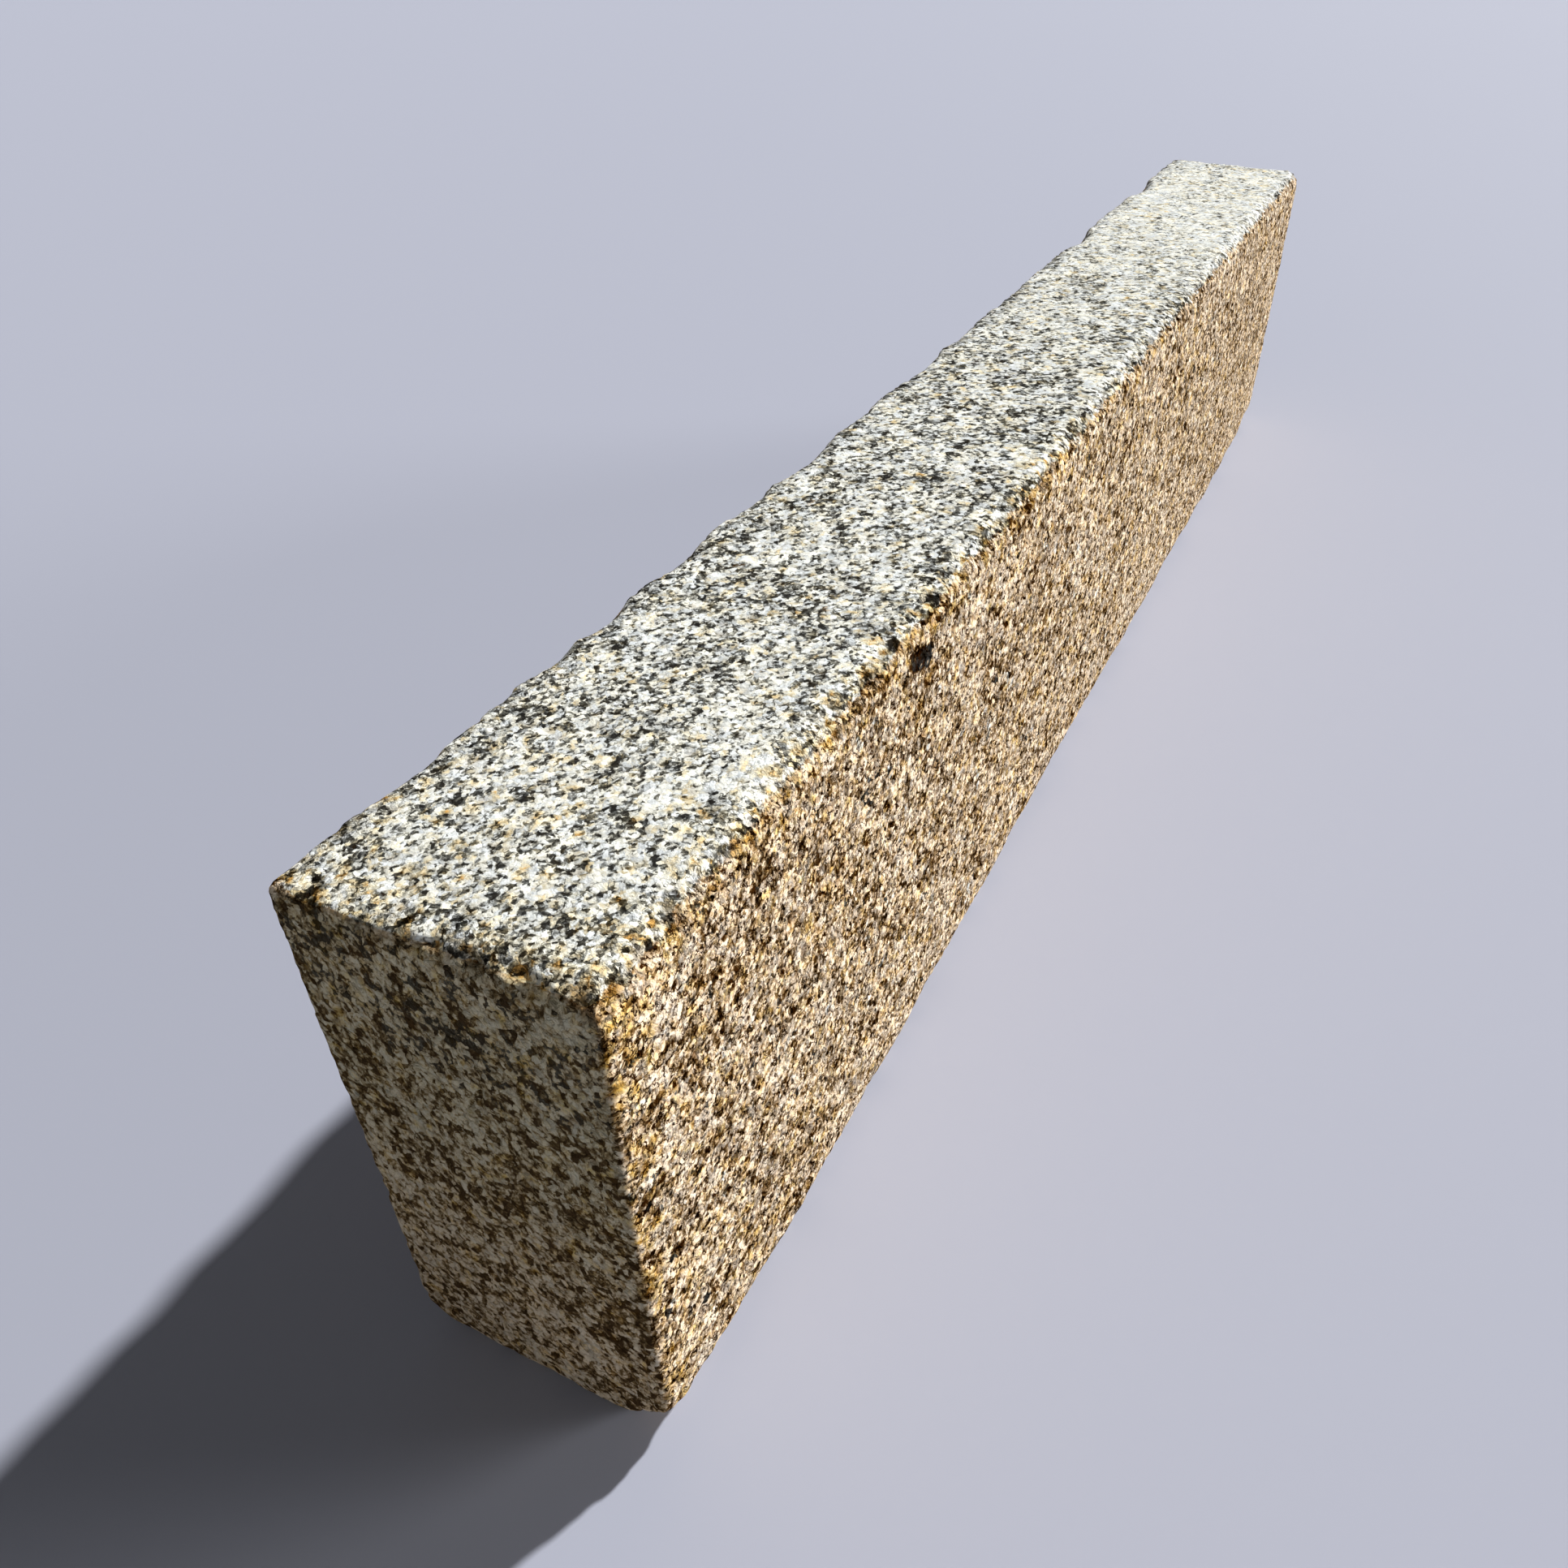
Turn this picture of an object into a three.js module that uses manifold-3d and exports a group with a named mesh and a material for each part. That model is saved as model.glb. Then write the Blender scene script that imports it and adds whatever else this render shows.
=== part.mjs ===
// A hewn granite kerb stone, standing on its bed as it would be set beside a road.
//
// Millimetres. +X runs along the stone from its near end to its far end, +Y from its front (the
// face shown to the road) to its back, +Z up. The origin is the middle of the bed.
//
// The stone is one block. Its cross-section is a slightly battered rectangle with worn arrises,
// lofted along the length. The arrises wander from their straight lines, the dressing leaves long
// shallow waves in the faces, and handling has knocked spalls off the arrises and corners. The bed
// and the middle of each end are flat.

import * as THREE from 'three';
import { ImprovedNoise } from 'three/addons/math/ImprovedNoise.js';
import { mergeVertices } from 'three/addons/utils/BufferGeometryUtils.js';
import Module from 'manifold-3d';

// ---- Driving dimensions ---------------------------------------------------------------------

const LENGTH = 1000;
const HEIGHT = 200;
const HEAD_WIDTH = 101;
const FOOT_WIDTH = 100;

// How far each kind of arris is worn back from its sharp edge, measured along the faces.
const FRONT_HEAD_WEAR = 9;
const BACK_HEAD_WEAR = 3.5;
const FOOT_WEAR = 14;
const END_HEAD_WEAR = 2.5;
const END_FOOT_WEAR = 12;
const END_SIDE_WEAR = 2.5;

// The share by which the wear of the long arrises swells and shrinks along the stone.
const WEAR_VARIATION = 0.35;
const WEAR_SPACING = 40;

// Waves that the dressing leaves in the faces: the distance from crest to crest, and the depth. The
// gain brings smooth noise, which seldom passes 0.6 either way, up to about 1.
const NOISE_GAIN = 1.6;
const DRESSING_SPACING = 170;
const DRESSING_DEPTH = 1.2;
const HAMMER_SPACING = 36;
const HAMMER_DEPTH = 0.8;

// How each long arris wanders from its straight line, at even stations from the near end to the far
// end: how far it stands out across the stone, and how far the head rises there.
const FRONT_FOOT_LINE = [-0.5, 0, 0.5, 0.5, 0.5, 0.5, 0.5, 0.5, -2.5];
const BACK_FOOT_LINE = [-1.5, 0, 0.5, -0.5, 0, 1, 0, -1, 0];
const BACK_HEAD_LINE = [2, 0.5, 0, 0, 0, 0.5, 1, 2, 1];
const FRONT_HEAD_LINE = [0, -0.5, 0, 0, -0.5, 0, 0, 0.5, 1];
const BACK_HEAD_RISE = [0, 0, 0, 0, 0, 0.5, 1, 2, 2.5];
const FRONT_HEAD_RISE = [0, 0, 0, 0, 0, 0, 0, -0.5, -1.5];

// A spall is a shallow dish: the radius of its hollow across the arris, and the roughness of its wall.
const SPALL_RADIUS = 45;
const SPALL_ROUGHNESS = 1;
const SPALL_ROUGHNESS_SPACING = 14;

// The size of the facets.
const STATION_PITCH = 13;
const FACE_PITCH = 25;
const WEAR_STEPS = 4;
const SPALL_DETAIL = 8;

// ---- The corners and the spalls between them ------------------------------------------------

// A corner of the stone is told by the side that it is on along X, Y and Z.
const NEAR_FRONT_HEAD = new THREE.Vector3(-1, -1, 1);
const NEAR_BACK_HEAD = new THREE.Vector3(-1, 1, 1);
const FAR_FRONT_HEAD = new THREE.Vector3(1, -1, 1);
const FAR_BACK_HEAD = new THREE.Vector3(1, 1, 1);
const NEAR_FRONT_FOOT = new THREE.Vector3(-1, -1, -1);
const NEAR_BACK_FOOT = new THREE.Vector3(-1, 1, -1);
const FAR_FRONT_FOOT = new THREE.Vector3(1, -1, -1);
const FAR_BACK_FOOT = new THREE.Vector3(1, 1, -1);

const BACK_HEAD = [NEAR_BACK_HEAD, FAR_BACK_HEAD];
const FRONT_HEAD = [NEAR_FRONT_HEAD, FAR_FRONT_HEAD];
const FRONT_FOOT = [NEAR_FRONT_FOOT, FAR_FRONT_FOOT];
const BACK_FOOT = [NEAR_BACK_FOOT, FAR_BACK_FOOT];
const NEAR_HEAD = [NEAR_FRONT_HEAD, NEAR_BACK_HEAD];

// at: the place along the arris, from 0 at its first corner to 1 at its second.
// length: how long the spall is along the arris. bite: its depth below the sharp arris.
const SPALLS = [
  { arris: BACK_HEAD, at: 0.055, length: 45, bite: 3.1 },
  { arris: BACK_HEAD, at: 0.122, length: 36, bite: 3 },
  { arris: BACK_HEAD, at: 0.15, length: 36, bite: 4 },
  { arris: BACK_HEAD, at: 0.2, length: 40, bite: 3.2 },
  { arris: BACK_HEAD, at: 0.257, length: 45, bite: 3.4 },
  { arris: BACK_HEAD, at: 0.305, length: 75, bite: 4.6 },
  { arris: BACK_HEAD, at: 0.362, length: 50, bite: 3 },
  { arris: BACK_HEAD, at: 0.438, length: 70, bite: 4.2 },
  { arris: BACK_HEAD, at: 0.495, length: 60, bite: 3.5 },
  { arris: BACK_HEAD, at: 0.714, length: 60, bite: 5.2 },
  { arris: BACK_HEAD, at: 0.885, length: 60, bite: 4.5 },
  { arris: FRONT_HEAD, at: 0.12, length: 70, bite: 4.6 },
  { arris: FRONT_HEAD, at: 0.255, length: 60, bite: 4.8 },
  { arris: FRONT_HEAD, at: 0.385, length: 90, bite: 5.4 },
  { arris: FRONT_HEAD, at: 0.57, length: 70, bite: 4.6 },
  { arris: FRONT_HEAD, at: 0.77, length: 80, bite: 5.2 },
  { arris: NEAR_HEAD, at: 0.42, length: 50, bite: 2.6 },
  { arris: FRONT_FOOT, at: 0.015, length: 100, bite: 12.5 },
  { arris: BACK_FOOT, at: 0.2, length: 70, bite: 8 },
  { arris: BACK_FOOT, at: 0.62, length: 90, bite: 8.5 },
];

// A corner knocked off: its depth below the sharp corner.
const CORNER_SPALLS = [
  { corner: NEAR_FRONT_FOOT, bite: 15.5 },
];

// ---- Hewn surface ---------------------------------------------------------------------------

const perlin = new ImprovedNoise();

// A smooth wave through space that swings between about -1 and 1.
function wave(point, spacing) {
  return perlin.noise(point.x / spacing, point.y / spacing, point.z / spacing) * NOISE_GAIN;
}

// How far the surface at a point stands out from the true face.
function hewing(point) {
  return DRESSING_DEPTH / 2 * wave(point, DRESSING_SPACING) + HAMMER_DEPTH / 2 * wave(point, HAMMER_SPACING);
}

// ---- Cross-section --------------------------------------------------------------------------

// How far a face has turned in at a distance from the end of the stone, on a quarter circle.
function turnedIn(fromEnd, wear) {
  const left = Math.max(0, wear - fromEnd);
  return wear - Math.sqrt(wear * wear - left * left);
}

// A smooth line through offsets at even stations.
function wanderingLine(offsets) {
  const line = new THREE.SplineCurve(offsets.map((offset, i) => new THREE.Vector2(i, offset)));
  return (x) => line.getPoint(x / LENGTH + 0.5).y;
}

// The long arrises in the order of the section's corners, anticlockwise as seen from the far end.
const LONG_ARRISES = [
  { side: -1, level: 0, wear: FOOT_WEAR, line: FRONT_FOOT_LINE, rise: [0, 0] },
  { side: 1, level: 0, wear: FOOT_WEAR, line: BACK_FOOT_LINE, rise: [0, 0] },
  { side: 1, level: 1, wear: BACK_HEAD_WEAR, line: BACK_HEAD_LINE, rise: BACK_HEAD_RISE },
  { side: -1, level: 1, wear: FRONT_HEAD_WEAR, line: FRONT_HEAD_LINE, rise: FRONT_HEAD_RISE },
].map((arris) => ({ ...arris, line: wanderingLine(arris.line), rise: wanderingLine(arris.rise) }));

// The sharp corners of the section at a station, each with the wear of its arris there.
function sectionCorners(x) {
  const fromEnd = LENGTH / 2 - Math.abs(x);
  const foot = turnedIn(fromEnd, END_FOOT_WEAR);
  const head = HEIGHT - turnedIn(fromEnd, END_HEAD_WEAR);
  return LONG_ARRISES.map(({ side, level, wear, line, rise }) => {
    const halfWidth = (level ? HEAD_WIDTH : FOOT_WIDTH) / 2;
    const reach = halfWidth + line(x) - turnedIn(fromEnd, END_SIDE_WEAR);
    const place = new THREE.Vector2(side * reach, (level ? head : foot) + rise(x));
    const swell = WEAR_VARIATION * wave(new THREE.Vector3(x, place.x, place.y), WEAR_SPACING);
    return { place, wear: wear * (1 + swell) };
  });
}

// The points of one corner, worn round between the faces that meet there.
function wornCorner(before, corner, after) {
  const start = corner.place.clone().lerp(before.place, corner.wear / corner.place.distanceTo(before.place));
  const end = corner.place.clone().lerp(after.place, corner.wear / corner.place.distanceTo(after.place));
  return new THREE.QuadraticBezierCurve(start, corner.place, end).getPoints(WEAR_STEPS);
}

// The facets across each face: the bed needs one, because it is flat.
const FACETS_ACROSS = [
  1,
  Math.ceil(HEIGHT / FACE_PITCH),
  Math.ceil(HEAD_WIDTH / FACE_PITCH),
  Math.ceil(HEIGHT / FACE_PITCH),
];

// The whole outline of the section at a station, as points in the plane across the stone.
function sectionOutline(x) {
  const corners = sectionCorners(x);
  const worn = corners.map((corner, i) => {
    const after = corners[(i + 1) % corners.length];
    return wornCorner(corners.at(i - 1), corner, after);
  });
  return worn.flatMap((points, i) => {
    const faceEnd = worn[(i + 1) % worn.length][0];
    const across = new THREE.LineCurve(points.at(-1), faceEnd).getPoints(FACETS_ACROSS[i]);
    return [...points, ...across.slice(1, -1)];
  });
}

// A ring of the stone's surface: the outline, hewn uneven except where it lies on the bed.
function ring(x) {
  const outline = sectionOutline(x);
  return outline.map((point, i) => {
    const before = outline.at(i - 1);
    const after = outline[(i + 1) % outline.length];
    const chord = after.clone().sub(before).normalize();
    const clearOfBed = Math.min(1, point.y / FOOT_WEAR);
    const out = hewing(new THREE.Vector3(x, point.x, point.y)) * clearOfBed;
    return new THREE.Vector3(x, point.x + chord.y * out, point.y - chord.x * out);
  });
}

// ---- Loft -----------------------------------------------------------------------------------

// Where the rings stand: close together on the worn ends, evenly spaced between them.
function stations() {
  const endWear = Math.max(END_FOOT_WEAR, END_HEAD_WEAR, END_SIDE_WEAR);
  const start = endWear - LENGTH / 2;
  const nearEnd = [];
  for (let step = 0; step < WEAR_STEPS; step += 1) {
    nearEnd.push(start - endWear * Math.cos(step / WEAR_STEPS * Math.PI / 2));
  }
  const spans = Math.ceil(-2 * start / STATION_PITCH);
  const middle = [];
  for (let span = 0; span <= spans; span += 1) {
    middle.push(start - 2 * start * span / spans);
  }
  const farEnd = nearEnd.map((x) => -x).reverse();
  return [...nearEnd, ...middle, ...farEnd];
}

// The block before it was chipped: rings joined into a skin, closed by a flat face at each end.
function loftedBlock() {
  const rings = stations().map(ring);
  const count = rings[0].length;
  const vertices = rings.flat();
  const triangles = [];
  for (let i = 0; i < rings.length - 1; i += 1) {
    for (let j = 0; j < count; j += 1) {
      const a = i * count + j;
      const b = i * count + (j + 1) % count;
      triangles.push(a, b, b + count, a, b + count, a + count);
    }
  }
  const lastRing = (rings.length - 1) * count;
  const nearFace = rings[0].map((point) => new THREE.Vector2(point.y, point.z));
  const farFace = rings.at(-1).map((point) => new THREE.Vector2(point.y, point.z));
  THREE.ShapeUtils.triangulateShape(nearFace, []).forEach(([a, b, c]) => triangles.push(a, c, b));
  THREE.ShapeUtils.triangulateShape(farFace, [])
    .forEach(([a, b, c]) => triangles.push(lastRing + a, lastRing + b, lastRing + c));
  const block = new THREE.BufferGeometry().setFromPoints(vertices);
  block.setIndex(triangles);
  return block;
}

// ---- Spalls ---------------------------------------------------------------------------------

// Where a corner of the stone is, before any wear.
function cornerPlace(corner) {
  const width = corner.z > 0 ? HEAD_WIDTH : FOOT_WIDTH;
  return new THREE.Vector3(corner.x * LENGTH / 2, corner.y * width / 2, (corner.z + 1) * HEIGHT / 2);
}

// A rough-walled ball, stretched to a size along three directions, turned and put in its place.
function roughBall(centre, turn, size) {
  const ball = new THREE.IcosahedronGeometry(1, SPALL_DETAIL);
  ball.deleteAttribute('normal');
  ball.deleteAttribute('uv');
  const dish = mergeVertices(ball).applyMatrix4(new THREE.Matrix4().compose(centre, turn, size));
  const vertices = dish.getAttribute('position');
  for (let i = 0; i < vertices.count; i += 1) {
    const vertex = new THREE.Vector3().fromBufferAttribute(vertices, i);
    const out = vertex.clone().sub(centre).normalize();
    vertex.addScaledVector(out, SPALL_ROUGHNESS / 2 * wave(vertex, SPALL_ROUGHNESS_SPACING));
    vertices.setXYZ(i, vertex.x, vertex.y, vertex.z);
  }
  return dish;
}

// The dish that a spall leaves: an ellipsoid laid along the arris, mostly outside the stone.
function arrisDish({ arris, at, length, bite }) {
  const [first, second] = arris;
  const start = cornerPlace(first);
  const end = cornerPlace(second);
  const outward = first.clone().add(second).normalize();
  const clearance = SPALL_RADIUS - bite;
  const halfLength = length / 2 / Math.sqrt(1 - (clearance / SPALL_RADIUS) ** 2);
  const turn = new THREE.Quaternion()
    .setFromUnitVectors(new THREE.Vector3(1, 0, 0), end.clone().sub(start).normalize());
  const size = new THREE.Vector3(halfLength, SPALL_RADIUS, SPALL_RADIUS);
  return roughBall(start.lerp(end, at).addScaledVector(outward, clearance), turn, size);
}

// The dish where a corner has been knocked off: a ball, mostly outside the stone.
function cornerDish({ corner, bite }) {
  const outward = corner.clone().normalize();
  const centre = cornerPlace(corner).addScaledVector(outward, SPALL_RADIUS - bite);
  return roughBall(centre, new THREE.Quaternion(), new THREE.Vector3().setScalar(SPALL_RADIUS));
}

// ---- Cutting --------------------------------------------------------------------------------

const wasm = await Module();
wasm.setup();

function toSolid(geometry) {
  return new wasm.Manifold(new wasm.Mesh({
    numProp: 3,
    vertProperties: new Float32Array(geometry.getAttribute('position').array),
    triVerts: new Uint32Array(geometry.getIndex().array),
  }));
}

function toGeometry(solid) {
  const mesh = solid.getMesh();
  const geometry = new THREE.BufferGeometry();
  geometry.setAttribute('position', new THREE.BufferAttribute(mesh.vertProperties, mesh.numProp));
  geometry.setIndex(new THREE.BufferAttribute(mesh.triVerts, 1));
  geometry.computeVertexNormals();
  return geometry;
}

// The finished stone: the block less its spalls, with the origin under the middle of its box.
function kerbStone() {
  const dishes = [...SPALLS.map(arrisDish), ...CORNER_SPALLS.map(cornerDish)].map(toSolid);
  const chipped = dishes.reduce((stone, dish) => stone.subtract(dish), toSolid(loftedBlock()));
  const geometry = toGeometry(chipped);
  geometry.computeBoundingBox();
  const middle = geometry.boundingBox.getCenter(new THREE.Vector3());
  geometry.translate(-middle.x, -middle.y, 0);
  return geometry;
}

// ---- Model ----------------------------------------------------------------------------------

const granite = new THREE.MeshStandardMaterial({ color: 0xc6b59c, roughness: 0.85, metalness: 0 });

const stone = new THREE.Mesh(kerbStone(), granite);
stone.name = 'kerb_stone';

const model = new THREE.Group();
model.add(stone);

export default model;
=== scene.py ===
"""Dresses the granite kerb stone: its weathered skin, its grain, and a plain stage to see it on."""

import math

import bmesh
import bpy
from mathutils import Euler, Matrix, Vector


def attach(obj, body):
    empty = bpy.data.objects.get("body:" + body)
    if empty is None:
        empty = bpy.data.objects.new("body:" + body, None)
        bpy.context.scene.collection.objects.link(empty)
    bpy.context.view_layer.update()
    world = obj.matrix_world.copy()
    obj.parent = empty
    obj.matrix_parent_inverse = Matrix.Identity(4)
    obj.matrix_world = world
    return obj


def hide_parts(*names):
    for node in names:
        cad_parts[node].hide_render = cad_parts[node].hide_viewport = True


bl_info = {
    "name": "Granite Kerb Stone",
    "version": (1, 0, 0),
    "blender": (4, 5, 0),
    "location": "View3D > Sidebar > Kerb Stone",
    "description": "Gives a plain kerb stone its weathered granite surface and sets it on a pale stage",
    "category": "Add Mesh",
}

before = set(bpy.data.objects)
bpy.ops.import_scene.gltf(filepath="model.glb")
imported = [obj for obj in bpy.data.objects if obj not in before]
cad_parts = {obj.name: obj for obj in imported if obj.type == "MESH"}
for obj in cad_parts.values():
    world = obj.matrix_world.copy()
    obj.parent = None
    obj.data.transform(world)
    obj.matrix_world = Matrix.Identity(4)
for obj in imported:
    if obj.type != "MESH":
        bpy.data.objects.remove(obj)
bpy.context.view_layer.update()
BLANK = "kerb_stone"
DRESSED = "kerb_stone_granite"
MM = 0.001


# ---------------------------------------------------------------- settings

class StoneSettings(bpy.types.PropertyGroup):
    """Sizes of the relief that hammer, frost and wear have left on the stone."""

    skin_pitch: bpy.props.FloatProperty(
        name="Skin Pitch", description="Side of one face of the stone's skin while it is being worked",
        default=1.6 * MM, min=1 * MM, max=10 * MM, precision=5, subtype="DISTANCE", unit="LENGTH")
    knob_size: bpy.props.FloatProperty(
        name="Knob Size", description="Width of the rounded clusters of crystals that stand proud",
        default=5 * MM, min=2 * MM, max=40 * MM, precision=5, subtype="DISTANCE", unit="LENGTH")
    knob_relief: bpy.props.FloatProperty(
        name="Knob Relief", description="Depth of the creases between the knobs",
        default=0.7 * MM, min=0, max=5 * MM, precision=5, subtype="DISTANCE", unit="LENGTH")
    pit_size: bpy.props.FloatProperty(
        name="Pit Size", description="Spacing of the pits where soft crystals have fallen out",
        default=7 * MM, min=2 * MM, max=40 * MM, precision=5, subtype="DISTANCE", unit="LENGTH")
    pit_depth: bpy.props.FloatProperty(
        name="Pit Depth", description="Depth of those pits",
        default=1.0 * MM, min=0, max=5 * MM, precision=5, subtype="DISTANCE", unit="LENGTH")
    dint_size: bpy.props.FloatProperty(
        name="Dint Size", description="Width of the shallow hammer dints",
        default=24 * MM, min=5 * MM, max=100 * MM, precision=5, subtype="DISTANCE", unit="LENGTH")
    dint_depth: bpy.props.FloatProperty(
        name="Dint Depth", description="Depth of the hammer dints",
        default=0.5 * MM, min=0, max=5 * MM, precision=5, subtype="DISTANCE", unit="LENGTH")
    crumble_size: bpy.props.FloatProperty(
        name="Crumble Size", description="Width of the crumbs broken out along the edges",
        default=8.5 * MM, min=2 * MM, max=40 * MM, precision=5, subtype="DISTANCE", unit="LENGTH")
    crumble_depth: bpy.props.FloatProperty(
        name="Crumble Depth", description="Depth of the crumbs broken out along the edges",
        default=2.8 * MM, min=0, max=8 * MM, precision=5, subtype="DISTANCE", unit="LENGTH")
    head_wear: bpy.props.FloatProperty(
        name="Head Wear", description="How much of the relief the worn head has lost",
        default=0.5, min=0, max=1, subtype="FACTOR")
    triangle_limit: bpy.props.IntProperty(
        name="Triangle Limit", description="Most triangles that the finished skin may have",
        default=196000, min=10000, max=1000000)


class GraniteSettings(bpy.types.PropertyGroup):
    """Colours and sizes of the crystals and the stain of the granite."""

    grain_size: bpy.props.FloatProperty(
        name="Grain Size", description="Width of an ordinary crystal",
        default=2.0 * MM, min=0.1 * MM, max=100 * MM, precision=5, subtype="DISTANCE", unit="LENGTH")
    crystal_size: bpy.props.FloatProperty(
        name="Crystal Size", description="Width of the clots that like crystals form",
        default=4.2 * MM, min=0.1 * MM, max=100 * MM, precision=5, subtype="DISTANCE", unit="LENGTH")
    cluster_size: bpy.props.FloatProperty(
        name="Cluster Size", description="Width of the drifts in which dark crystals gather",
        default=13 * MM, min=0.1 * MM, max=100 * MM, precision=5, subtype="DISTANCE", unit="LENGTH")
    mica_size: bpy.props.FloatProperty(
        name="Mica Size", description="Width of the smallest flakes",
        default=1.25 * MM, min=0.1 * MM, max=100 * MM, precision=5, subtype="DISTANCE", unit="LENGTH")
    mica: bpy.props.FloatVectorProperty(
        name="Mica", description="Colour of black mica on the washed head",
        default=(0.030, 0.0275, 0.025), size=3, min=0, max=1, subtype="COLOR")
    quartz_dark: bpy.props.FloatVectorProperty(
        name="Dark Quartz", description="Colour of smoky quartz on the head",
        default=(0.073, 0.0725, 0.067), size=3, min=0, max=1, subtype="COLOR")
    quartz: bpy.props.FloatVectorProperty(
        name="Quartz", description="Colour of grey quartz on the head",
        default=(0.236, 0.234, 0.217), size=3, min=0, max=1, subtype="COLOR")
    grey_feldspar: bpy.props.FloatVectorProperty(
        name="Grey Feldspar", description="Colour of dull feldspar on the head",
        default=(0.625, 0.63, 0.605), size=3, min=0, max=1, subtype="COLOR")
    feldspar: bpy.props.FloatVectorProperty(
        name="Feldspar", description="Colour of white feldspar on the head",
        default=(0.915, 0.92, 0.905), size=3, min=0, max=1, subtype="COLOR")
    bright_feldspar: bpy.props.FloatVectorProperty(
        name="Bright Feldspar", description="Colour of the cleanest feldspar on the head",
        default=(0.96, 0.975, 0.97), size=3, min=0, max=1, subtype="COLOR")
    warm_tint: bpy.props.FloatVectorProperty(
        name="Warm Tint", description="Tint of the warmest crystals",
        default=(1.0, 0.975, 0.87), size=3, min=0, max=1, subtype="COLOR")
    cool_tint: bpy.props.FloatVectorProperty(
        name="Cool Tint", description="Tint of the coolest crystals",
        default=(0.955, 0.985, 0.995), size=3, min=0, max=1, subtype="COLOR")
    side_mica: bpy.props.FloatVectorProperty(
        name="Side Mica", description="Colour of black mica on the stained sides",
        default=(0.036, 0.012, 0.002), size=3, min=0, max=1, subtype="COLOR")
    side_quartz_dark: bpy.props.FloatVectorProperty(
        name="Side Dark Quartz", description="Colour of smoky quartz on the sides",
        default=(0.125, 0.068, 0.022), size=3, min=0, max=1, subtype="COLOR")
    side_quartz: bpy.props.FloatVectorProperty(
        name="Side Quartz", description="Colour of grey quartz on the sides",
        default=(0.330, 0.216, 0.110), size=3, min=0, max=1, subtype="COLOR")
    side_grey_feldspar: bpy.props.FloatVectorProperty(
        name="Side Grey Feldspar", description="Colour of dull feldspar on the sides",
        default=(0.71, 0.525, 0.338), size=3, min=0, max=1, subtype="COLOR")
    side_feldspar: bpy.props.FloatVectorProperty(
        name="Side Feldspar", description="Colour of feldspar on the sides",
        default=(0.975, 0.775, 0.57), size=3, min=0, max=1, subtype="COLOR")
    side_bright_feldspar: bpy.props.FloatVectorProperty(
        name="Side Bright Feldspar", description="Colour of the cleanest feldspar on the sides",
        default=(0.89, 0.76, 0.605), size=3, min=0, max=1, subtype="COLOR")
    rust: bpy.props.FloatVectorProperty(
        name="Rust", description="Tint that iron gives the crystals it has stained",
        default=(0.95, 0.76, 0.45), size=3, min=0, max=1, subtype="COLOR")
    pale_rust: bpy.props.FloatVectorProperty(
        name="Pale Rust", description="Tint at the outskirts of an iron stain",
        default=(1.0, 0.90, 0.69), size=3, min=0, max=1, subtype="COLOR")
    deep_rust: bpy.props.FloatVectorProperty(
        name="Deep Rust", description="Tint of the heaviest iron stain",
        default=(0.85, 0.56, 0.23), size=3, min=0, max=1, subtype="COLOR")
    # Painted shade, with some dirt: the small holes are drawn near black for the shade inside them.
    hole_shade_and_dirt: bpy.props.FloatVectorProperty(
        name="Hole Shade and Dirt", description="Colour of the dirt in the small holes",
        default=(0.020, 0.011, 0.005), size=3, min=0, max=1, subtype="COLOR")
    # Partly a thin green film, partly painted shade: this tint darkens the two ends, most at the top.
    end_film_and_shade: bpy.props.FloatVectorProperty(
        name="End Film and Shade", description="Tint of the thin green film on the two shaded ends",
        default=(0.51, 0.60, 0.575), size=3, min=0, max=1, subtype="COLOR")
    end_dust: bpy.props.FloatVectorProperty(
        name="End Dust", description="Colour of the dust caught on the two shaded ends",
        default=(0.37, 0.26, 0.135), size=3, min=0, max=1, subtype="COLOR")
    side_rust: bpy.props.FloatVectorProperty(
        name="Side Rust", description="Tint that iron gives the crystals it has stained on the sides",
        default=(0.93, 0.84, 0.50), size=3, min=0, max=1, subtype="COLOR")
    side_deep_rust: bpy.props.FloatVectorProperty(
        name="Side Deep Rust", description="Tint of the heaviest iron stain on the sides",
        default=(0.80, 0.66, 0.32), size=3, min=0, max=1, subtype="COLOR")
    gap_shade: bpy.props.FloatVectorProperty(
        name="Gap Shade", description="Tint of the shadowed gaps between the crystals",
        default=(0.055, 0.022, 0.005), size=3, min=0, max=1, subtype="COLOR")
    # Painted shade, with some dirt: this tint darkens pits and creases where shade would fall.
    pit_shade: bpy.props.FloatVectorProperty(
        name="Pit Shade", description="Tint of the dirt at the bottom of pits and creases",
        default=(0.30, 0.19, 0.08), size=3, min=0, max=1, subtype="COLOR")
    grit_depth: bpy.props.FloatProperty(
        name="Grit Depth", description="Depth of the finest roughness of the crystals",
        default=1.0 * MM, min=0, max=3 * MM, precision=5, subtype="DISTANCE", unit="LENGTH")


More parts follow.
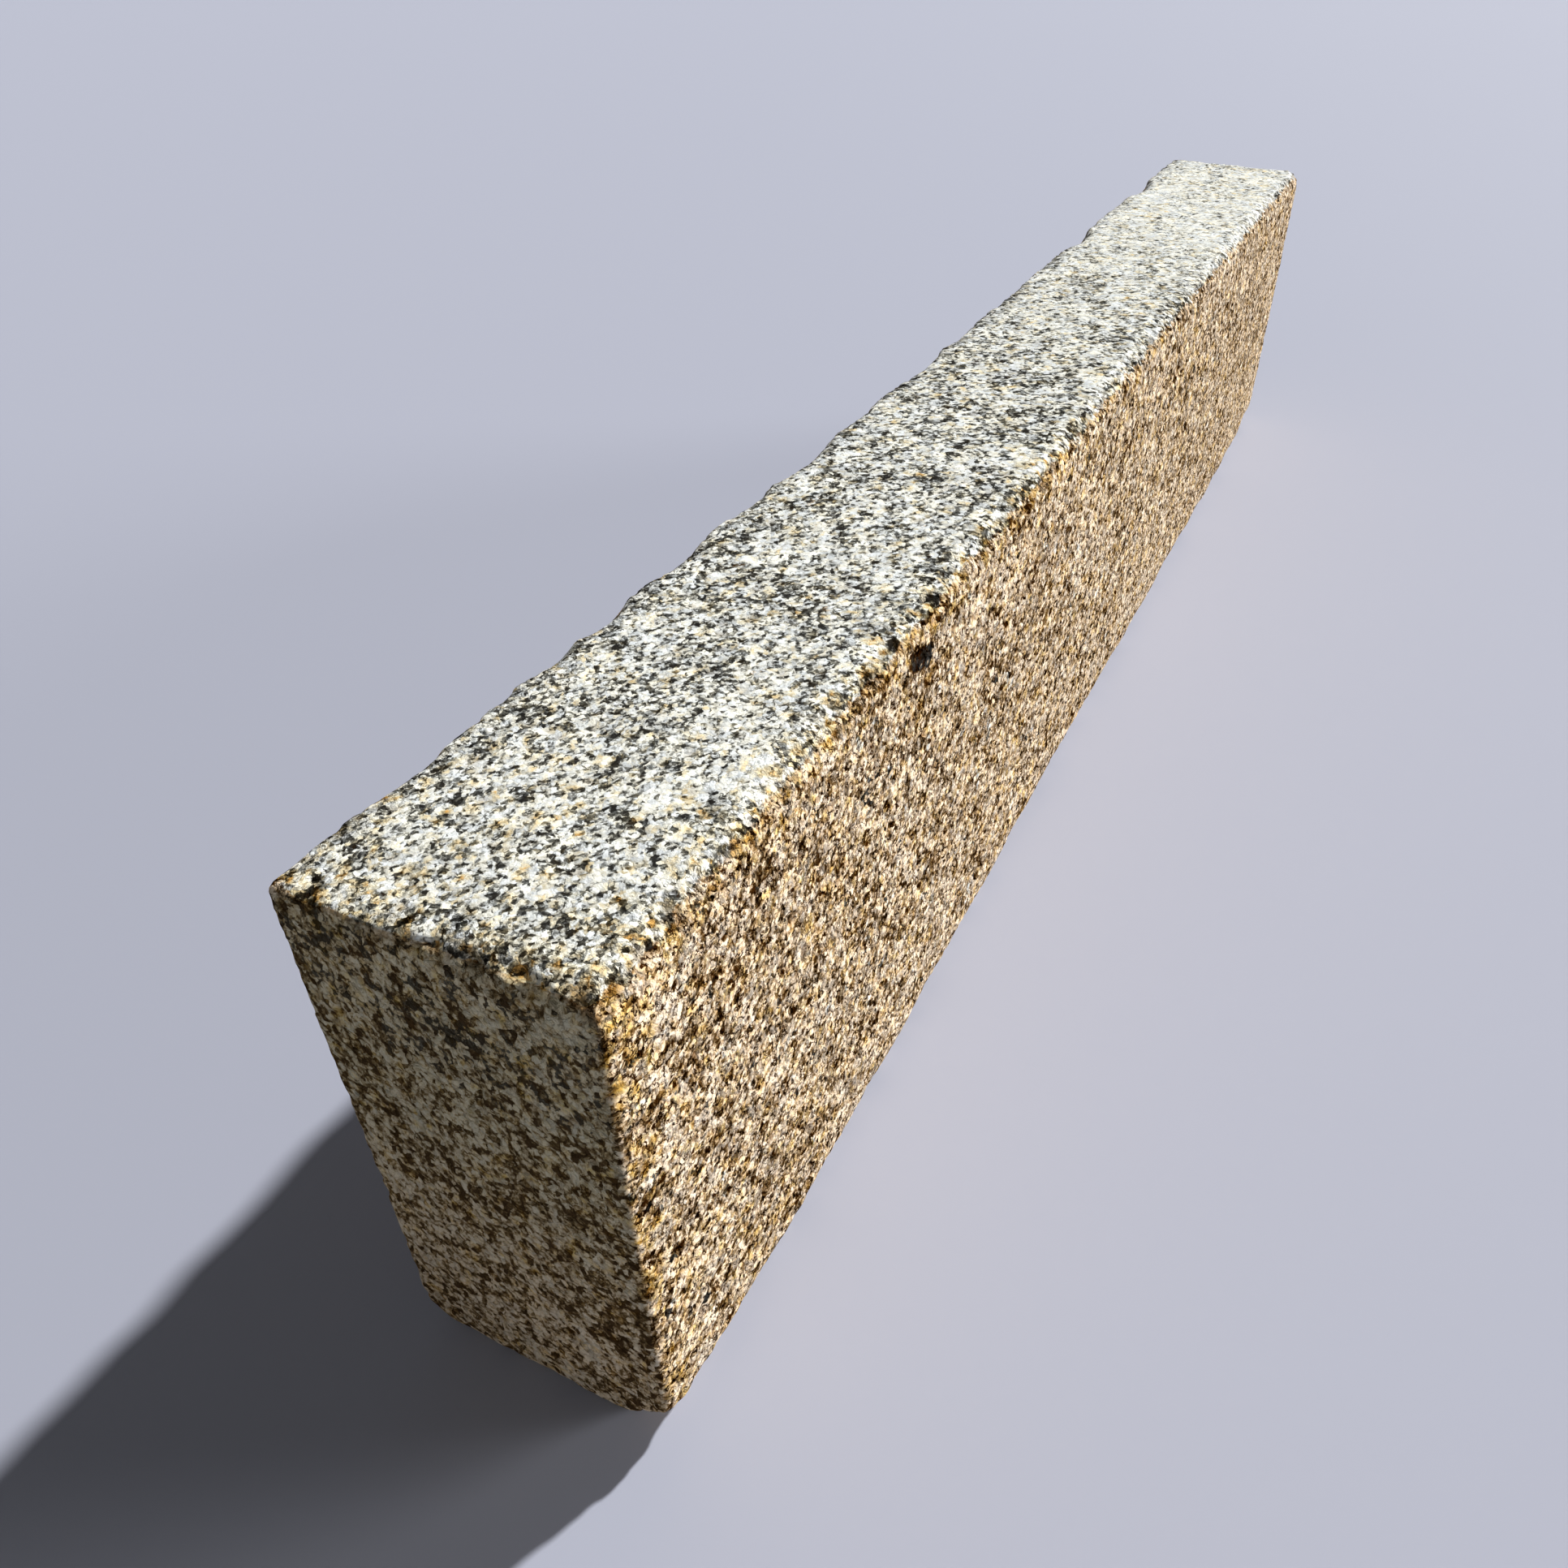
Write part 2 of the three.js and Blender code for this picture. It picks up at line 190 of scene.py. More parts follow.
class StageSettings(bpy.types.PropertyGroup):
    """Floor, light and camera."""

    floor_colour: bpy.props.FloatVectorProperty(
        name="Floor Colour", description="Colour of the floor", subtype="COLOR", size=3,
        default=(0.44, 0.455, 0.54), min=0, max=1)
    sky_colour: bpy.props.FloatVectorProperty(
        name="Backdrop Colour", description="Colour seen beyond the floor", subtype="COLOR", size=3,
        default=(0.70, 0.74, 0.84), min=0, max=1)
    fill_strength: bpy.props.FloatProperty(
        name="Fill Strength", description="Strength of the even light from all round",
        default=0.07, min=0, max=2)
    key_strength: bpy.props.FloatProperty(
        name="Key Strength", description="Strength of the key light", default=4.0, min=0, max=20)
    key_spread: bpy.props.FloatProperty(
        name="Key Spread", description="Breadth of the key light, which softens the shadow",
        default=math.radians(2.5), min=0, max=math.pi, subtype="ANGLE", unit="ROTATION")
    key_bearing: bpy.props.FloatProperty(
        name="Key Bearing", description="Turn of the key lamp about the upright, from the stone's length",
        default=math.radians(-25.5), subtype="ANGLE", unit="ROTATION")
    key_height: bpy.props.FloatProperty(
        name="Key Height", description="Angle of the key lamp above the floor",
        default=math.radians(42.5), subtype="ANGLE", unit="ROTATION")
    side_strength: bpy.props.FloatProperty(
        name="Side Strength", description="Strength of the broad light on the front face",
        default=2.9, min=0, max=20)
    end_strength: bpy.props.FloatProperty(
        name="End Strength", description="Strength of the dim broad light on the near end",
        default=0.38, min=0, max=20)
    camera_place: bpy.props.FloatVectorProperty(
        name="Camera Place", description="Where the camera stands", size=3,
        default=(-0.6421, -0.1769, 0.3964), subtype="TRANSLATION", unit="LENGTH")
    camera_turn: bpy.props.FloatVectorProperty(
        name="Camera Turn", description="Which way the camera looks", size=3,
        default=(math.radians(53.55), math.radians(2.01), math.radians(-62.99)), subtype="EULER")
    camera_lens: bpy.props.FloatProperty(
        name="Camera Lens", description="Focal length in millimetres on a 36 mm sensor",
        default=27.98, min=5, max=200)


# ---------------------------------------------------------------- node wiring

NODES_IN_ROW = 12
NODE_WIDTH = 200
NODE_HEIGHT = 260
# The middle of a random value, and a factor that makes another random value out of one.
MIDDLE = 0.5
CELL_SHUFFLE = 7.31


class Wiring:
    """Adds nodes to one tree and joins them up."""

    def __init__(self, tree):
        self.tree = tree
        tree.nodes.clear()

    def new(self, kind):
        """One node as it comes, laid out in rows."""
        made = self.tree.nodes.new(kind)
        row, column = divmod(len(self.tree.nodes), NODES_IN_ROW)
        made.location = (NODE_WIDTH * column, -NODE_HEIGHT * row)
        return made

    def node(self, kind, inputs=None, **settings):
        """One node. Each named or numbered input gets a value, or a link where a socket is given."""
        made = self.new(kind)
        for name, value in settings.items():
            setattr(made, name, value)
        for key, value in (inputs or {}).items():
            self.feed(made.inputs[key], value)
        return made

    def feed(self, socket, value):
        """A value or a link on one input."""
        if isinstance(value, bpy.types.NodeSocket):
            self.tree.links.new(value, socket)
        elif socket.type == "RGBA" and len(value) == 3:
            socket.default_value = (*value, 1)
        else:
            socket.default_value = value

    def math(self, operation, *values, clamp=False):
        """A sum on one, two or three numbers."""
        inputs = dict(enumerate(values))
        return self.node("ShaderNodeMath", inputs, operation=operation, use_clamp=clamp).outputs[0]

    def product(self, first, *others):
        """Numbers multiplied together."""
        for other in others:
            first = self.math("MULTIPLY", first, other)
        return first

    def lean(self, total, value, weight, middle=0.0, clamp=False):
        """The total, moved by the weighted distance of a value from its middle."""
        if middle:
            value = self.math("SUBTRACT", value, middle)
        return self.math("MULTIPLY_ADD", value, weight, total, clamp=clamp)

    def opposite(self, share):
        """What is left of 1 beside a share."""
        return self.math("SUBTRACT", 1.0, share)

    def vector(self, operation, *values, scale=None):
        """A sum on one, two or three vectors."""
        inputs = dict(enumerate(values))
        if scale is not None:
            inputs["Scale"] = scale
        made = self.node("ShaderNodeVectorMath", inputs, operation=operation)
        return made.outputs["Value" if operation in {"LENGTH", "DOT_PRODUCT", "DISTANCE"} else "Vector"]

    def split(self, vector):
        """The three numbers of a vector."""
        return self.node("ShaderNodeSeparateXYZ", {0: vector}).outputs

    def join(self, *numbers):
        """A vector of three numbers."""
        return self.node("ShaderNodeCombineXYZ", dict(enumerate(numbers))).outputs[0]

    def ramp(self, value, low, high, to_low=0.0, to_high=1.0):
        """A number carried smoothly from one range to another."""
        inputs = {"Value": value, "From Min": low, "From Max": high, "To Min": to_low, "To Max": to_high}
        return self.node("ShaderNodeMapRange", inputs, interpolation_type="SMOOTHSTEP").outputs["Result"]

    def scale_for(self, size):
        """The texture scale that draws features of a size, which is a number or a socket."""
        return 1 / size if isinstance(size, float) else self.math("DIVIDE", 1.0, size)

    def noise(self, place, size, detail=2.0, roughness=0.5):
        """Smooth random values, as (number, colour)."""
        made = self.node("ShaderNodeTexNoise", {
            "Vector": place, "Scale": self.scale_for(size), "Detail": detail, "Roughness": roughness})
        return made.outputs["Fac"], made.outputs["Color"]

    def cells(self, place, size):
        """Cells like packed crystals, as (distance from the middle, three numbers of its own, middle)."""
        made = self.node("ShaderNodeTexVoronoi", {"Vector": place, "Scale": self.scale_for(size)})
        return made.outputs["Distance"], self.split(made.outputs["Color"]), made.outputs["Position"]

    def facets(self, place, numbers, middle):
        """The height of a broken face on which each cell leans its own way, at a slope near 1."""
        other = self.math("FRACT", self.math("MULTIPLY", numbers[0], CELL_SHUFFLE))
        tilt = self.join(numbers[1], numbers[2], other)
        tilt = self.vector("MULTIPLY_ADD", tilt, (2, 2, 2), (-1, -1, -1))
        return self.vector("DOT_PRODUCT", self.vector("SUBTRACT", place, middle), tilt)

    def wander(self, place, size, reach):
        """The place, shifted by up to half of reach, so that what is drawn there has ragged edges."""
        shift = self.vector("SUBTRACT", self.noise(place, size)[1], (MIDDLE, MIDDLE, MIDDLE))
        return self.vector("ADD", place, self.vector("SCALE", shift, scale=reach))

    def mix(self, amount, first, second, blend="MIX"):
        """Two colours mixed."""
        made = self.new("ShaderNodeMix")
        made.data_type = "RGBA"
        made.blend_type = blend
        sockets = {socket.identifier: socket for socket in (*made.inputs, *made.outputs)}
        for name, value in (("Factor_Float", amount), ("A_Color", first), ("B_Color", second)):
            self.feed(sockets[name], value)
        return sockets["Result_Color"]

    def tint(self, amount, colour, tint):
        """A colour multiplied by a tint, as far as the amount says."""
        return self.mix(amount, colour, self.mix(1.0, colour, tint, "MULTIPLY"))

    def steps(self, value, stops):
        """A colour for a number, from (position, colour) stops."""
        made = self.node("ShaderNodeValToRGB", {"Fac": value})
        elements = made.color_ramp.elements
        while len(elements) < len(stops):
            elements.new(0.5)
        for element, (position, colour) in zip(elements, stops):
            element.position = position
            element.color = (*colour, 1)
        return made.outputs["Color"]

    def blurred(self, value, rounds):
        """A vector on the skin, evened out with its neighbours."""
        return self.node("GeometryNodeBlurAttribute", {
            "Value": value, "Iterations": rounds}, data_type="FLOAT_VECTOR").outputs["Value"]


# ---------------------------------------------------------------- granite

# Clots and pale patches that stand out: where each lies on the stone, its radius, and how much darker
# or paler its crystals are chosen.
CLOTS = (
    ((-0.3115, -0.0505, 0.1866), 5.6 * MM, -0.55), ((-0.3054, -0.0505, 0.1838), 6.0 * MM, -0.60),
    ((-0.2995, -0.0505, 0.1812), 5.6 * MM, -0.55), ((-0.323, -0.047, 0.199), 3.6 * MM, -0.55),
    ((-0.289, -0.048, 0.199), 4.2 * MM, -0.50), ((-0.348, -0.050, 0.158), 8.0 * MM, -0.17),
    ((-0.461, -0.012, 0.200), 1.6 * MM, -0.50), ((-0.475, -0.050, 0.198), 2.6 * MM, -0.60),
    ((0.011, -0.049, 0.196), 3.2 * MM, -0.50), ((-0.491, -0.0505, 0.144), 1.5 * MM, -0.60),
    ((-0.476, -0.0505, 0.126), 1.3 * MM, -0.40), ((-0.468, -0.0505, 0.104), 1.7 * MM, -0.45),
    ((-0.473, -0.0495, 0.046), 2.3 * MM, -0.45), ((-0.486, -0.050, 0.086), 1.6 * MM, -0.45),
    ((-0.492, -0.050, 0.119), 1.8 * MM, -0.50), ((-0.410, -0.041, 0.200), 11 * MM, 0.16),
    ((-0.332, -0.043, 0.200), 9 * MM, 0.24), ((0.359, 0.040, 0.201), 11 * MM, 0.18),
    # The two pale patches near x = -0.16 to -0.17 are painted light: they lighten the shade of a spall by
    # the front arris.
    ((-0.160, -0.027, 0.200), 18 * MM, 0.12), ((-0.171, -0.042, 0.199), 11 * MM, 0.17))
CLOT_EDGE = (1.15, 0.60)
CLOT_BARE = 0.7

# The minerals from dark to pale: where each lies on the scale of choice, and the setting of its colour.
HEAD_MINERALS = (
    (0.12, "mica"), (0.22, "quartz_dark"), (0.37, "quartz"), (0.47, "grey_feldspar"),
    (0.58, "feldspar"), (0.90, "bright_feldspar"))
SIDE_MINERALS = (
    (0.11, "side_mica"), (0.19, "side_quartz_dark"), (0.31, "side_quartz"),
    (0.40, "side_grey_feldspar"), (0.52, "side_feldspar"), (0.90, "side_bright_feldspar"))

# Widths of the patterns that have no setting. A ragged edge has the width of its teeth and their reach.
RAGGED_EDGE = (2.3 * MM, 1.7 * MM)
FRAYED_EDGE = (0.7 * MM, 0.7 * MM)
HOLE_EDGE = (2.0 * MM, 1.6 * MM)
MOTTLE_SIZE = 1.9 * MM
WASH_SIZE = 9 * MM
BROAD_SIZE = 55 * MM
SEEP_SIZE = 5.0 * MM
HOLE_SIZE = 2.6 * MM
CHIP_SIZE = 4.2 * MM
GRIT_SIZE = 0.8 * MM

# How the grain is drawn out: along the stone past a place, by more and more across it, and down its faces.
DRAW_START = -0.30
DRAW_BLEND = 0.10
DRAW_ALONG = -0.22
DRAW_DOWN = 0.10
DRIFT_TURN = (0.5, 0.3, 0.4)
DRIFT_DRAW = (0.62, 1.0, 1.0)

# Ranges of one value over which another comes in: (from, to), or (from, to, value before, value after).
# First those that run along x, across y or up z, in metres.
DRAW_ACROSS_X = (-0.42, -0.12, 0.06, -0.26)
FAR_HEAD_X = (-0.15, 0.35)
PALE_NEAR_X = (-0.30, -0.45, 0.0, 0.012)
HANDLED_X = (-0.36, -0.485, -0.045, 0.015)
EDGE_STAIN_X = (-0.35, 0.25, 0.125, 0.02)
CLEAN_MARGIN_X = (-0.25, 0.35, 0.0, -0.075)
END_STAIN_X = (-0.470, -0.490, 0.0, 0.66)
FRONT_STAIN_Y = (0.03, -0.02)
HIGH_STAIN_Z = (0.12, 0.18, 0.2, 1.0)
BARE_END_Z = (0.10, 0.17, 0.0, 1.25)
# END_FILM_AND_SHADE_Z: how strongly the ends take their film and painted shade, more towards the top.
END_FILM_AND_SHADE_Z = (0.02, 0.15, 0.34, 0.82)
# Then those over other patterns.
BARE_CLUSTERS = (0.12, 0.08, 0.0, 0.42)
BARE_MINERALS = (0.38, 0.26)
WASHED = (0.30, 0.55)
HUES = (0.22, 0.78)
PALE_STAINED = (0.46, 0.62)
RUSTED = (0.58, 0.72, 0.0, 0.85)
DEEP_RUSTED = (0.71, 0.82, 0.0, 0.9)
HOLE_RIM = (0.0, 0.08)
CREASED = (0.55, 0.80)
GAP_EDGE = (0.043, 0.015)
GAP_MOTTLE = (0.60, 0.46)
MINERAL_ROUGHNESS = (0.12, 0.40, 0.38, 0.85)

# How far each pattern moves the choice of mineral.
CHOICE_GRAIN = 0.40
CHOICE_CLUSTER = 0.34
CHOICE_CLUSTER_HEAD = -0.05
CHOICE_SPECK = 0.20
CHOICE_SPECK_HEAD = 0.22
CHOICE_HEAD = -0.08
CHOICE_MOTTLE = 0.8
CHOICE_DRIFT = 0.47
CHOICE_BROAD = 0.20
CHOICE_END = -0.09
FAR_LIFT = 0.24
FAR_FLATTEN = -0.22
CONTRAST_GAIN = 0.12
CONTRAST_DROP = -0.054

# How far each pattern moves the wash, and how deep the colours that lie over the minerals are.
WASH_CLUSTER = 0.40
WASH_MOTTLE = 0.8
WASH_END = -0.8
WASH_PATCHES = 1.5
HUE_SHARE = 0.5
HUE_SIDE = 0.5
HUE_HEAD = 0.5
END_DUST_SHARE = 0.12

# How far each pattern moves the iron stain.
SEEP_PIT = 0.03
SEEP_END = -0.04
SEEP_BROAD = -0.12
SEEP_GRAIN = 0.16
SEEP_GRAIN_HEAD = 0.05
PALE_STAIN = 0.8
PALE_STAIN_HEAD = -0.13
RUST_HEAD = -0.25

# Holes, creases and gaps: how common or open each is, and what the sides, margins and ends add to that.
# Their dark colour is painted shade, with some dirt in holes and creases; the shaded ends get less of it.
HOLE_SHARE = 0.05
HOLE_MARGIN = 0.26
HOLE_SIDE = 0.20
HOLE_REACH = 0.20
HOLE_REACH_SPREAD = 0.20
HOLE_END = -0.7
HOLE_SHADE_AND_DIRT = 0.85
CREASE_SHADE = 0.15
CREASE_SIDE = 0.45
CREASE_END = -0.5
GAP_OPEN = 0.14
GAP_MARGIN = 0.20
GAP_SIDE = 0.90
GAP_END = -0.85
PIT_SHADE = 0.75

# How high each pattern stands in the finest roughness, and how rough the parts of the stone are.
CLUSTER_FACETS = 0.62
GRAIN_FACETS = 0.48
GRIT_HEIGHT = 0.4
CHIP_HEIGHT = 1.6
DOME_HEIGHT = -0.7
HOLE_HEIGHT = -1.0
GAP_HEIGHT = -0.5
BROKEN = 0.25
BROKEN_MARGIN = 0.35
BROKEN_SIDE = 0.75


class Granite:
    """Wires the granite: packed crystals of feldspar, quartz and mica, washed pale or stained by iron."""

    def __init__(self, finish):
        self.finish = finish
        self.material = bpy.data.materials.new("granite")
        self.material.use_nodes = True
        self.wires = Wiring(self.material.node_tree)
        self.read_skin()
        self.draw_grain()
        self.choose_minerals()
        colour = self.opened(self.stained(self.mineral_colour()))
        bump = self.wires.node("ShaderNodeBump", {
            "Strength": 1.0, "Distance": finish.grit_depth, "Height": self.height()}).outputs["Normal"]
        surface = self.wires.node("ShaderNodeBsdfPrincipled", {
            "Base Color": colour, "Roughness": self.wires.ramp(self.choice, *MINERAL_ROUGHNESS),
            "Normal": bump, "Specular IOR Level": 0.0})
        self.wires.node("ShaderNodeOutputMaterial", {"Surface": surface.outputs["BSDF"]})

    def read_skin(self):
        """Where a point is, and the marks that the relief has left on the skin there."""
        wires = self.wires
        self.place = wires.node("ShaderNodeTexCoord").outputs["Object"]
        self.x, self.y, self.z = wires.split(self.place)
        self.head, self.margin, self.end, self.pit = (
            wires.node("ShaderNodeAttribute", attribute_name=name).outputs["Fac"]
            for name in ("wash", "margin", "end", "pit"))
        self.side = wires.opposite(self.head)

    def draw_grain(self):
        """The patterns that the crystals are made from, ragged at their edges and drawn out a little."""
        wires, finish = self.wires, self.finish
        self.ragged = wires.wander(wires.wander(self.place, *RAGGED_EDGE), *FRAYED_EDGE)
        x, y, z = wires.split(self.ragged)
        along = wires.math("MULTIPLY", wires.math("SMOOTH_MAX", x, DRAW_START, DRAW_BLEND), DRAW_ALONG)
        along = wires.lean(along, z, DRAW_DOWN)
        across = wires.math("MULTIPLY", y, wires.ramp(x, *DRAW_ACROSS_X))
        down = wires.math("MULTIPLY", wires.math("SUBTRACT", x, z), DRAW_DOWN)
        self.drawn = wires.vector("ADD", self.ragged, wires.join(along, across, down))

        drifting = wires.node("ShaderNodeMapping", {
            "Vector": self.place, "Rotation": DRIFT_TURN, "Scale": DRIFT_DRAW}).outputs["Vector"]
        self.drift = wires.noise(drifting, finish.cluster_size, detail=3.0, roughness=0.55)[0]
        self.broad = wires.noise(self.place, BROAD_SIZE)[0]
        self.mottle = wires.noise(self.drawn, MOTTLE_SIZE, detail=3.0, roughness=0.62)[0]
        self.chips = wires.noise(self.drawn, CHIP_SIZE, detail=3.0, roughness=0.6)[0]
        _, self.cluster, self.cluster_middle = wires.cells(self.drawn, finish.crystal_size)
        self.grain_distance, self.grain, self.grain_middle = wires.cells(self.drawn, finish.grain_size)
        self.speck = wires.cells(self.drawn, finish.mica_size)[1]

    def choose_minerals(self):
        """Which mineral lies at a point, from dark (0) to pale (1), and how bare of stain it is."""
        wires = self.wires
        choice = wires.math("MULTIPLY", self.grain[0], CHOICE_GRAIN)
        choice = wires.lean(
            choice, self.cluster[0], wires.lean(CHOICE_CLUSTER, self.head, CHOICE_CLUSTER_HEAD))
        choice = wires.lean(choice, self.speck[0], wires.lean(CHOICE_SPECK, self.head, CHOICE_SPECK_HEAD))
        choice = wires.lean(choice, self.head, CHOICE_HEAD)
        choice = wires.lean(choice, self.mottle, CHOICE_MOTTLE, MIDDLE)
        choice = wires.lean(choice, self.drift, CHOICE_DRIFT, MIDDLE)
        choice = wires.lean(choice, self.broad, CHOICE_BROAD, MIDDLE)
        choice = wires.lean(choice, self.end, CHOICE_END)
        far = wires.math("MULTIPLY", self.head, wires.ramp(self.x, *FAR_HEAD_X))
        choice = wires.lean(choice, far, wires.lean(FAR_LIFT, choice, FAR_FLATTEN))
        choice = wires.lean(choice, self.head, wires.ramp(self.x, *PALE_NEAR_X))
        choice = wires.math("ADD", wires.lean(CONTRAST_DROP, choice, CONTRAST_GAIN), choice)
        bare = wires.ramp(self.cluster[1], *BARE_CLUSTERS)
        for centre, radius, change in CLOTS:
            away = wires.vector("DISTANCE", self.ragged, centre)
            inside = wires.ramp(away, *(radius * share for share in CLOT_EDGE))
            choice = wires.lean(choice, inside, change)
            bare = wires.math("MAXIMUM", bare, wires.math("MULTIPLY", inside, CLOT_BARE))
        bare = wires.math(
            "MAXIMUM", bare, wires.math("MULTIPLY", self.end, wires.ramp(self.z, *BARE_END_Z)))
        self.choice = choice
        self.bare = wires.product(self.side, bare, wires.ramp(choice, *BARE_MINERALS))

    def mineral_colour(self):
        """The minerals in their washed or stained colours, with the film, painted shade and dust of the
        ends.
        """
        wires, finish = self.wires, self.finish
        clean, tanned = (
            wires.steps(self.choice, [(position, getattr(finish, name)) for position, name in minerals])
            for minerals in (HEAD_MINERALS, SIDE_MINERALS))
        wash = wires.lean(self.head, self.cluster[2], WASH_CLUSTER, MIDDLE)
        wash = wires.lean(wash, self.mottle, WASH_MOTTLE, MIDDLE)
        wash = wires.math("ADD", self.bare, wash)
        wash = wires.lean(wash, self.end, WASH_END)
        wash = wires.lean(wash, wires.noise(self.drawn, WASH_SIZE)[0], WASH_PATCHES, MIDDLE)
        colour = wires.mix(wires.ramp(wash, *WASHED), tanned, clean)

        hue = wires.lean(wires.math("MULTIPLY", self.cluster[2], HUE_SHARE), self.grain[2], HUE_SHARE)
        hue = wires.mix(wires.ramp(hue, *HUES), finish.cool_tint, finish.warm_tint)
        colour = wires.tint(wires.lean(HUE_SIDE, self.head, HUE_HEAD), colour, hue)
        # Film and painted shade: the ends are tinted darker and greener, most at the top.
        film = wires.math("MULTIPLY", self.end, wires.ramp(self.z, *END_FILM_AND_SHADE_Z))
        colour = wires.tint(film, colour, finish.end_film_and_shade)
        return wires.mix(wires.math("MULTIPLY", self.end, END_DUST_SHARE), colour, finish.end_dust)

    def stained(self, colour):
        """The colour with iron stain, most of it at the worn front arris and round the near end."""
        wires, finish = self.wires, self.finish
        edge = wires.math("MULTIPLY", wires.ramp(self.y, *FRONT_STAIN_Y), wires.ramp(self.z, *HIGH_STAIN_Z))
        edge = wires.math("MAXIMUM", edge, wires.ramp(self.x, *END_STAIN_X))
        edge = wires.math("MULTIPLY", edge, wires.math("MULTIPLY", self.margin, wires.opposite(self.end)))
        seep = wires.noise(self.drawn, SEEP_SIZE, detail=3.0, roughness=0.55)[0]
        seep = wires.lean(seep, edge, wires.ramp(self.x, *EDGE_STAIN_X))
        seep = wires.lean(seep, self.head, wires.ramp(self.x, *HANDLED_X))
        seep = wires.lean(seep, self.pit, SEEP_PIT)
        seep = wires.lean(seep, self.end, SEEP_END)
        seep = wires.lean(seep, self.margin, wires.ramp(self.x, *CLEAN_MARGIN_X))
        seep = wires.lean(seep, self.broad, SEEP_BROAD, MIDDLE)
        seep = wires.lean(seep, self.grain[1], wires.lean(SEEP_GRAIN, self.head, SEEP_GRAIN_HEAD), MIDDLE)
        pale = wires.math(
            "MULTIPLY", wires.ramp(seep, *PALE_STAINED), wires.lean(PALE_STAIN, self.head, PALE_STAIN_HEAD))
        rusted = wires.math("MULTIPLY", wires.ramp(seep, *RUSTED), wires.lean(1.0, self.head, RUST_HEAD))
        deep = wires.ramp(seep, *DEEP_RUSTED)
        colour = wires.tint(pale, colour, finish.pale_rust)
        colour = wires.tint(rusted, colour, wires.mix(self.head, finish.side_rust, finish.rust))
        return wires.tint(deep, colour, wires.mix(self.head, finish.side_deep_rust, finish.deep_rust))

    def opened(self, colour):
        """The colour with the painted shade, and some dirt, of small holes, creases, gaps and pits."""
        wires, finish = self.wires, self.finish
        distance, hole, _ = wires.cells(wires.wander(self.drawn, *HOLE_EDGE), HOLE_SIZE)
        share = wires.lean(wires.lean(HOLE_SHARE, self.margin, HOLE_MARGIN), self.side, HOLE_SIDE)
        inside = wires.math("SUBTRACT", wires.lean(HOLE_REACH, hole[1], HOLE_REACH_SPREAD), distance)
        self.hole = wires.product(
            wires.math("LESS_THAN", hole[0], share), wires.ramp(inside, *HOLE_RIM),
            wires.lean(1.0, self.end, HOLE_END))
        # Painted shade, with some dirt: the small holes are mixed towards near black.
        colour = wires.mix(wires.math("MULTIPLY", self.hole, HOLE_SHADE_AND_DIRT), colour, finish.hole_shade_and_dirt)

        crease = wires.product(
            wires.ramp(self.grain_distance, *CREASED), wires.lean(CREASE_SHADE, self.side, CREASE_SIDE),
            wires.lean(1.0, self.end, CREASE_END))
        # Painted shade, with some dirt: the creases between crystals are darkened.
        colour = wires.tint(crease, colour, finish.pit_shade)

        open_share = wires.lean(
            wires.lean(GAP_OPEN, self.margin, GAP_MARGIN), self.side, GAP_SIDE, clamp=True)
        open_share = wires.product(
            open_share, wires.lean(1.0, self.end, GAP_END), wires.ramp(self.mottle, *GAP_MOTTLE))
        from_middle = wires.math("ABSOLUTE", wires.math("SUBTRACT", self.chips, MIDDLE))
        self.gap = wires.math("MULTIPLY", wires.ramp(from_middle, *GAP_EDGE), open_share)
        colour = wires.tint(self.gap, colour, finish.gap_shade)
        # Painted shade, with some dirt: pits and the creases among the edge crumbs are darkened.
        return wires.tint(wires.math("MULTIPLY", self.pit, PIT_SHADE), colour, finish.pit_shade)

    def height(self):
        """The finest roughness: leaning facets, domed crystals, grit, chips, holes and gaps."""
        wires = self.wires
        grit = wires.noise(self.place, GRIT_SIZE, roughness=0.6)[0]
        facets = wires.lean(
            wires.math("MULTIPLY", wires.facets(self.drawn, self.grain, self.grain_middle), GRAIN_FACETS),
            wires.facets(self.drawn, self.cluster, self.cluster_middle), CLUSTER_FACETS)
        height = wires.lean(wires.math("MULTIPLY", grit, GRIT_HEIGHT), facets, 1 / MM)
        height = wires.lean(height, self.chips, CHIP_HEIGHT)
        dome = wires.math("MULTIPLY", self.grain_distance, self.grain_distance)
        for value, lift in ((dome, DOME_HEIGHT), (self.hole, HOLE_HEIGHT), (self.gap, GAP_HEIGHT)):
            height = wires.lean(height, value, lift)
        broken = wires.lean(
            wires.lean(BROKEN, self.margin, BROKEN_MARGIN), self.side, BROKEN_SIDE, clamp=True)
        return wires.math("MULTIPLY", height, broken)


# ---------------------------------------------------------------- stone

RELIEF_INPUTS = (
    ("Knob Size", "knob_size"), ("Knob Relief", "knob_relief"),
    ("Pit Size", "pit_size"), ("Pit Depth", "pit_depth"),
    ("Dint Size", "dint_size"), ("Dint Depth", "dint_depth"),
    ("Crumble Size", "crumble_size"), ("Crumble Depth", "crumble_depth"), ("Head Wear", "head_wear"))
RELIEF_SEED = (0.317, 1.204, 2.731)
RELIEF_EDGE = (4 * MM, 3.5 * MM)
MERGE_REACH = 1e-6

# Rounds of evening out: of the skin itself, of its outward direction, and of that again for the margins.
SKIN_ROUNDS = 1
SOFT_ROUNDS = 24
MARGIN_ROUNDS = 70

